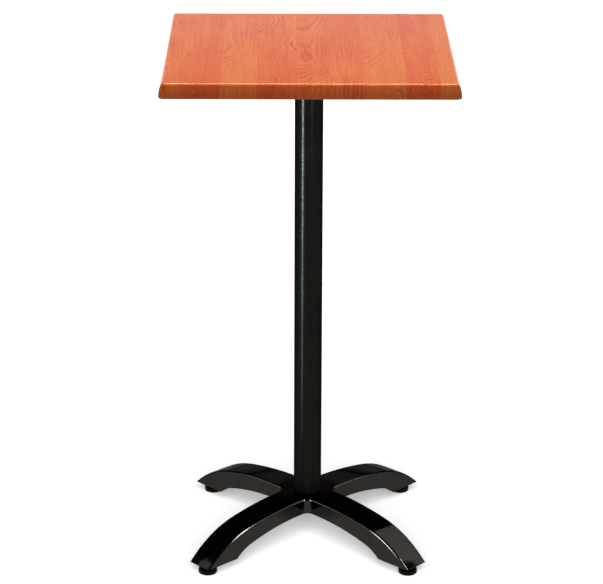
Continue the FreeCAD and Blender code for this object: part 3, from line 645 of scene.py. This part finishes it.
def thread(name, radius, pitch, low, high, chamfer_low, chamfer_high, steps):
    """One closed threaded shank, cut square at both ends and chamfered there if asked."""
    root = radius - THREAD_DEPTH * pitch
    start_piece()
    bpy.ops.mesh.primitive_plane_add(size=pitch)
    piece = take(name)
    bpy.ops.object.mode_set(mode="EDIT")
    bpy.ops.mesh.select_all(action="SELECT")
    bpy.ops.mesh.delete(type="ONLY_FACE")
    mesh = bmesh.from_edit_mesh(piece.data)
    mesh.edges.ensure_lookup_table()
    mesh.edges.remove(mesh.edges[0])
    ends = [vertex for vertex in mesh.verts if len(vertex.link_edges) == 1]
    chain, edge = [ends[0]], ends[0].link_edges[0]
    while len(chain) < 4:
        chain.append(edge.other_vert(chain[-1]))
        edge = next((other for other in chain[-1].link_edges if other is not edge), None)
    start = low - TURNS_BELOW * pitch
    profile = ((root, 0.0), (radius, CREST_START), (radius, CREST_END), (root, 1.0))
    for vertex, (reach, share) in zip(chain, profile):
        vertex.co = (reach, 0.0, start + share * pitch)
    bmesh.update_edit_mesh(piece.data)
    bpy.ops.object.mode_set(mode="OBJECT")
    wind = piece.modifiers.new("wind", "SCREW")
    wind.angle = math.tau
    wind.screw_offset = pitch
    wind.iterations = math.ceil((high - low) / pitch) + SPARE_TURNS
    wind.steps = wind.render_steps = steps
    wind.use_merge_vertices = True
    make_active(piece)
    bpy.ops.object.modifier_apply(modifier="wind")
    bpy.ops.object.mode_set(mode="EDIT")
    bpy.ops.mesh.select_all(action="SELECT")
    bpy.ops.mesh.remove_doubles(threshold=WELD_DISTANCE)
    for level, direction in ((low, -1.0), (high, 1.0)):
        bpy.ops.mesh.select_all(action="SELECT")
        bpy.ops.mesh.bisect(plane_co=(0, 0, level), plane_no=(0, 0, direction), use_fill=True,
                            clear_outer=True, threshold=LEVEL_TOLERANCE)
    bpy.ops.mesh.select_all(action="SELECT")
    bpy.ops.mesh.normals_make_consistent(inside=False)
    mesh = bmesh.from_edit_mesh(piece.data)
    for vertex in mesh.verts:
        reach = math.hypot(vertex.co.x, vertex.co.y)
        for level, chamfer in ((low, chamfer_low), (high, chamfer_high)):
            limit = radius - chamfer + abs(vertex.co.z - level)
            if chamfer and limit < reach:
                vertex.co.x *= limit / reach
                vertex.co.y *= limit / reach
    bmesh.update_edit_mesh(piece.data)
    bpy.ops.object.mode_set(mode="OBJECT")
    return piece


def unite(name, first, *others):
    """Melts closed pieces into one closed piece."""
    for other in others:
        make_active(first)
        union = first.modifiers.new("union", "BOOLEAN")
        union.operation = "UNION"
        union.solver = "EXACT"
        union.object = other
        bpy.ops.object.modifier_apply(modifier="union")
        bpy.data.objects.remove(other, do_unlink=True)
    first.name = name
    first.data.name = name
    check_closed(first)
    return first


def check_closed(piece):
    mesh = bmesh.new()
    mesh.from_mesh(piece.data)
    open_edges = sum(1 for edge in mesh.edges if not edge.is_manifold)
    volume = mesh.calc_volume(signed=True)
    mesh.free()
    if open_edges or volume <= 0:
        raise RuntimeError(f"{piece.name}: {open_edges} open edges, volume {volume:.3e}")


def smooth(piece):
    """Shades the piece smooth where its faces meet at less than the smooth angle."""
    make_active(piece)
    bpy.ops.object.shade_smooth_by_angle(angle=SMOOTH_ANGLE)


def fit(piece, body, node):
    """The piece stands for a CAD node and moves with its body."""
    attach(piece, body)
    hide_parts(node)


# ---------------------------------------------------------------- operators

class BARTABLE_OT_table_top(bpy.types.Operator):
    """Gives the moulded top its cherry decor and its backing film"""
    bl_idname = "bartable.table_top"
    bl_label = "Finish Table Top"

    def execute(self, context):
        dress_nodes(["table_top"], decor_material(context.scene.bar_table_top))
        return {"FINISHED"}


class BARTABLE_OT_column(bpy.types.Operator):
    """Gives the column its half-matt enamel, and the spider under the top its rough one"""
    bl_idname = "bartable.column"
    bl_label = "Finish Column and Spider"

    def execute(self, context):
        look = context.scene.bar_table_metal
        dress_nodes(["column_tube"], half_matt_material(look))
        dress_nodes(["top_spider"], enamel_material(
            "spider_enamel", look.spider, look.glance, SPIDER_ROUGHNESS, SPIDER_PEEL))
        return {"FINISHED"}


class BARTABLE_OT_base(bpy.types.Operator):
    """Gives the base casting its gloss enamel, over a rough cast skin underneath"""
    bl_idname = "bartable.base"
    bl_label = "Finish Base Casting"

    def execute(self, context):
        look = context.scene.bar_table_metal
        dress_nodes(["base_casting"], enamel_material(
            "casting_enamel", look.casting, look.glance, look.casting_roughness, CASTING_PEEL))
        return {"FINISHED"}


class BARTABLE_OT_hardware(bpy.types.Operator):
    """Models the tie rod with its two threads, and plates it with its nuts, washers and screws"""
    bl_idname = "bartable.hardware"
    bl_label = "Fit Hardware"

    # The plain shank is a hair thinner than the threads, so that no two faces coincide.
    shank_share = 0.99

    def execute(self, context):
        threads = context.scene.bar_table_threads
        zinc = plated_material("zinc_plating", context.scene.bar_table_metal.zinc, *ZINC_FINISH)
        dress_nodes(["spider_screws", "top_washer", "top_lock_washer", "top_nut",
                     "bottom_washer", "bottom_lock_washer", "bottom_nut"], zinc)
        low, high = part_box("tie_rod")
        radius = high.x
        length = threads.rod_thread_length
        lap = threads.rod_pitch
        shank = cylinder("rod_shank", self.shank_share * radius,
                         low.z + length - lap, high.z - length + lap, ROUND_SIDES)
        settle(shank)
        lower = thread("rod_lower", radius, threads.rod_pitch, low.z, low.z + length,
                       threads.chamfer, 0.0, threads.steps)
        upper = thread("rod_upper", radius, threads.rod_pitch, high.z - length, high.z,
                       0.0, threads.chamfer, threads.steps)
        rod = unite("tie_rod_threaded", shank, lower, upper)
        smooth(rod)
        dress(rod, zinc)
        fit(rod, "table", "tie_rod")
        return {"FINISHED"}


class BARTABLE_OT_feet(bpy.types.Operator):
    """Models one threaded foot stud, copies it to the four corners, and finishes the pads"""
    bl_idname = "bartable.feet"
    bl_label = "Fit Levelling Feet"

    head_height = 0.0035
    head_radius = 0.006
    shank_radius = 0.004
    hexagon_width = 0.013
    hexagon_height = 0.0059
    thread_reach = 0.010
    broken_edge = 0.0004
    # How deep the neck and the thread start inside the hexagon.
    neck_lap = 0.001
    thread_lap = 0.002

    def execute(self, context):
        threads = context.scene.bar_table_threads
        look = context.scene.bar_table_metal
        steel = plated_material("blackened_steel", look.blackened, *BLACKENED_FINISH)
        plastic = plastic_material(look)
        low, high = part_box(f"foot_stud_{CORNERS[0]}")
        collar = high.z - self.thread_reach
        head = bevel_rims(cylinder("stud_head", self.head_radius,
                                   low.z, low.z + self.head_height, ROUND_SIDES), self.broken_edge)
        neck = settle(cylinder("stud_neck", self.shank_radius, low.z + self.head_height / 2,
                               collar - self.neck_lap, ROUND_SIDES))
        nut = bevel_rims(cylinder("stud_hexagon", self.hexagon_width / math.sqrt(3),
                                  collar - self.hexagon_height, collar, 6), self.broken_edge)
        screw = thread("stud_screw", self.shank_radius, threads.stud_pitch,
                       collar - self.thread_lap, high.z, 0.0, threads.chamfer, threads.steps)
        pattern = unite("stud_pattern", nut, head, neck, screw)
        smooth(pattern)
        for corner in CORNERS:
            node = f"foot_stud_{corner}"
            low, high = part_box(node)
            stud = pattern.copy()
            stud.data = pattern.data.copy()
            stud.name = stud.data.name = f"threaded_stud_{corner}"
            context.scene.collection.objects.link(stud)
            middle = Vector(((low.x + high.x) / 2, (low.y + high.y) / 2, 0))
            stud.data.transform(Matrix.Translation(middle))
            dress(stud, steel)
            fit(stud, f"{corner}_stud", node)
            dress_nodes([f"foot_pad_{corner}"], plastic)
        bpy.data.objects.remove(pattern, do_unlink=True)
        return {"FINISHED"}


def area_lamp(name, place, target, size, radiance, colour, glossy):
    """Soft rectangular lamp that faces a target; radiance 1 looks white."""
    start_piece()
    bpy.ops.object.light_add(type="AREA", location=place)
    lamp = bpy.context.active_object
    lamp.name = name
    lamp.data.shape = "RECTANGLE"
    lamp.data.size, lamp.data.size_y = size
    lamp.data.energy = radiance * math.pi * size[0] * size[1]
    lamp.data.color = colour
    facing = Vector(target) - Vector(place)
    lamp.rotation_euler = facing.to_track_quat("-Z", "Y").to_euler()
    lamp.visible_camera = False
    lamp.visible_glossy = glossy
    return lamp


def mirrored_lamp(name, place, target, size, radiance, colour, receiver):
    """Lamp that shows only as a reflection, and only on the node that it is hung for."""
    lamp = area_lamp(name, place, target, size, radiance, colour, glossy=True)
    lamp.visible_diffuse = False
    lit = bpy.data.collections.new(f"{name}_receivers")
    lit.objects.link(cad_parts[receiver])
    lamp.light_linking.receiver_collection = lit


def leave_out(lamp, floor):
    """The lamp lights everything but the floor."""
    unlit = bpy.data.collections.new(f"{lamp.name}_receivers")
    unlit.objects.link(floor)
    unlit.collection_objects[0].light_linking.link_state = "EXCLUDE"
    lamp.light_linking.receiver_collection = unlit


def floor_lamp(name, floor, radiance, angle, tilt, casters):
    """Wide light from the front that falls on the floor alone, with the casters' shadow in it."""
    start_piece()
    bpy.ops.object.light_add(type="SUN", location=(0, 0, 3))
    lamp = bpy.context.active_object
    lamp.name = name
    lamp.data.energy = radiance * math.pi
    lamp.data.angle = angle
    lamp.rotation_euler = (tilt, 0, 0)
    lamp.visible_camera = lamp.visible_glossy = False
    lit = bpy.data.collections.new(f"{name}_receivers")
    lit.objects.link(floor)
    lamp.light_linking.receiver_collection = lit
    shading = bpy.data.collections.new(f"{name}_casters")
    for caster in casters:
        shading.objects.link(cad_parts[caster])
    lamp.light_linking.blocker_collection = shading


class BARTABLE_OT_studio(bpy.types.Operator):
    """Sets up the paper sweep, the soft lamps, the surround and the camera"""
    bl_idname = "bartable.studio"
    bl_label = "Set Up Studio"

    def execute(self, context):
        studio = context.scene.bar_table_studio
        floor = self.lay_floor(studio)
        self.surround(context.scene, studio)
        self.hang_lamps(floor)
        self.place_camera(studio)
        context.scene.view_settings.view_transform = "Standard"
        return {"FINISHED"}

    def lay_floor(self, studio):
        start_piece()
        bpy.ops.mesh.primitive_plane_add(size=studio.floor_width, location=(0, 0, 0))
        floor = take("paper_sweep")
        material, recipe = new_material("white_paper")
        place = recipe.object_place()
        rays = recipe.add("ShaderNodeLightPath").outputs
        mirrored = recipe.larger(rays["Is Glossy Ray"], rays["Is Transmission Ray"])
        seen = recipe.larger(rays["Is Camera Ray"], mirrored)
        fibres = recipe.noise(place, scale=600.0, detail=3.0)
        paper = recipe.blend(recipe.remap(fibres, 0.3, 0.7), rgba(studio.floor),
                             rgba(studio.floor, PAPER_SHADE))
        paper = recipe.blend(rays["Is Diffuse Ray"], paper, rgba(studio.bounce))
        depth = recipe.split(place)[1]
        behind = recipe.times(recipe.remap(depth, *DARK_BEGINS, smooth=True),
                              recipe.remap(depth, *DARK_ENDS, smooth=True), rays["Is Glossy Ray"])
        paper = recipe.blend(behind, paper, rgba(studio.floor, studio.behind))
        away = recipe.add("ShaderNodeVectorMath", {"operation": "LENGTH"}, Vector=place)
        start, end, far_glow = FAR_GLOW
        further = recipe.times(
            recipe.remap(away.outputs["Value"], start, end, 0.0, far_glow, smooth=True),
            rays["Is Camera Ray"])
        glow = recipe.times(recipe.plus(further, studio.floor_glow),
                            recipe.remap(behind, 0.0, 1.0, 1.0, studio.behind))
        recipe.surface(Base_Color=paper, Roughness=PAPER_ROUGHNESS, Specular_IOR_Level=0.0,
                       Emission_Color=(1, 1, 1, 1), Emission_Strength=recipe.times(seen, glow))
        dress(floor, material)
        return floor

    def surround(self, scene, studio):
        """White for the camera, a backdrop under a dark ceiling in reflections, dim elsewhere."""
        scene.world = bpy.data.worlds.new("studio_surround")
        recipe = Recipe(scene.world)
        upward = recipe.split(recipe.add("ShaderNodeTexCoord").outputs["Generated"])[2]
        backdrop = recipe.remap(upward, math.sin(studio.backdrop_top),
                                math.sin(studio.backdrop_top - studio.backdrop_fade),
                                studio.ceiling, 1.0, smooth=True)
        above_horizon = recipe.remap(upward, math.sin(HORIZON_LOW), math.sin(HORIZON_HIGH),
                                     studio.horizon, 1.0, smooth=True)
        backdrop = recipe.times(backdrop, above_horizon)
        rays = recipe.add("ShaderNodeLightPath").outputs
        mirrored = recipe.larger(rays["Is Glossy Ray"], rays["Is Transmission Ray"])
        strength = recipe.remap(mirrored, 0.0, 1.0, studio.ambient, backdrop)
        strength = recipe.remap(rays["Is Camera Ray"], 0.0, 1.0, strength, 1.0)
        glow = recipe.add("ShaderNodeBackground", Color=(1, 1, 1, 1), Strength=strength)
        output = recipe.add("ShaderNodeOutputWorld")
        recipe.links.new(glow.outputs[0], output.inputs[0])

    def hang_lamps(self, floor):
        leave_out(area_lamp("overhead", *OVERHEAD, glossy=False), floor)
        floor_lamp("floor_light", floor, *FLOOR_LIGHT,
                   ["base_casting", *(f"foot_pad_{corner}" for corner in CORNERS)])
        for lamp in MIRRORED_LAMPS:
            mirrored_lamp(*lamp)

    def place_camera(self, studio):
        pitch, yaw, roll = studio.camera_pitch, studio.camera_yaw, studio.camera_roll
        ahead = Vector((math.sin(yaw) * math.cos(pitch), math.cos(yaw) * math.cos(pitch),
                        -math.sin(pitch)))
        right = Vector((math.cos(yaw), -math.sin(yaw), 0.0))
        above = right.cross(ahead)
        leaned_right = math.cos(roll) * right + math.sin(roll) * above
        leaned_above = math.cos(roll) * above - math.sin(roll) * right
        turn = Matrix((leaned_right, leaned_above, -ahead)).transposed()
        start_piece()
        bpy.ops.object.camera_add(location=studio.camera_place, rotation=turn.to_euler())
        camera = bpy.context.active_object
        camera.name = "photo_camera"
        camera.data.sensor_fit = "HORIZONTAL"
        camera.data.sensor_width = SENSOR_WIDTH_MM
        camera.data.lens = studio.focal_px / IMAGE_WIDTH_PX * SENSOR_WIDTH_MM
        camera.data.clip_end = CAMERA_REACH
        bpy.context.scene.camera = camera


class BARTABLE_PT_panel(bpy.types.Panel):
    """Lists the steps that dress the bar table, and the values they use"""
    bl_idname = "BARTABLE_PT_panel"
    bl_label = "Bar Table"
    bl_space_type = "VIEW_3D"
    bl_region_type = "UI"
    bl_category = "Bar Table"

    def draw(self, context):
        layout = self.layout
        for operator in OPERATORS:
            layout.operator(operator.bl_idname)
        for name, (group, _) in GROUPS.items():
            box = layout.box()
            settings = getattr(context.scene, name)
            for setting in group.__annotations__:
                box.prop(settings, setting)


OPERATORS = (BARTABLE_OT_table_top, BARTABLE_OT_column, BARTABLE_OT_base, BARTABLE_OT_hardware,
             BARTABLE_OT_feet, BARTABLE_OT_studio)
GROUPS = {
    "bar_table_top": (BarTableTopLook, "Table top"),
    "bar_table_metal": (BarTableMetalLook, "Metal and plastic"),
    "bar_table_threads": (BarTableThreads, "Threads"),
    "bar_table_studio": (BarTableStudio, "Studio"),
}


def register():
    for name, (group, label) in GROUPS.items():
        bpy.utils.register_class(group)
        setattr(bpy.types.Scene, name, PointerProperty(type=group, name=label))
    for operator in OPERATORS:
        bpy.utils.register_class(operator)
    bpy.utils.register_class(BARTABLE_PT_panel)


def unregister():
    bpy.utils.unregister_class(BARTABLE_PT_panel)
    for operator in reversed(OPERATORS):
        bpy.utils.unregister_class(operator)
    for name, (group, _) in GROUPS.items():
        delattr(bpy.types.Scene, name)
        bpy.utils.unregister_class(group)


def main():
    register()
    start_piece()
    bpy.ops.bartable.table_top()
    bpy.ops.bartable.column()
    bpy.ops.bartable.base()
    bpy.ops.bartable.hardware()
    bpy.ops.bartable.feet()
    bpy.ops.bartable.studio()


if __name__ == "__main__":
    main()
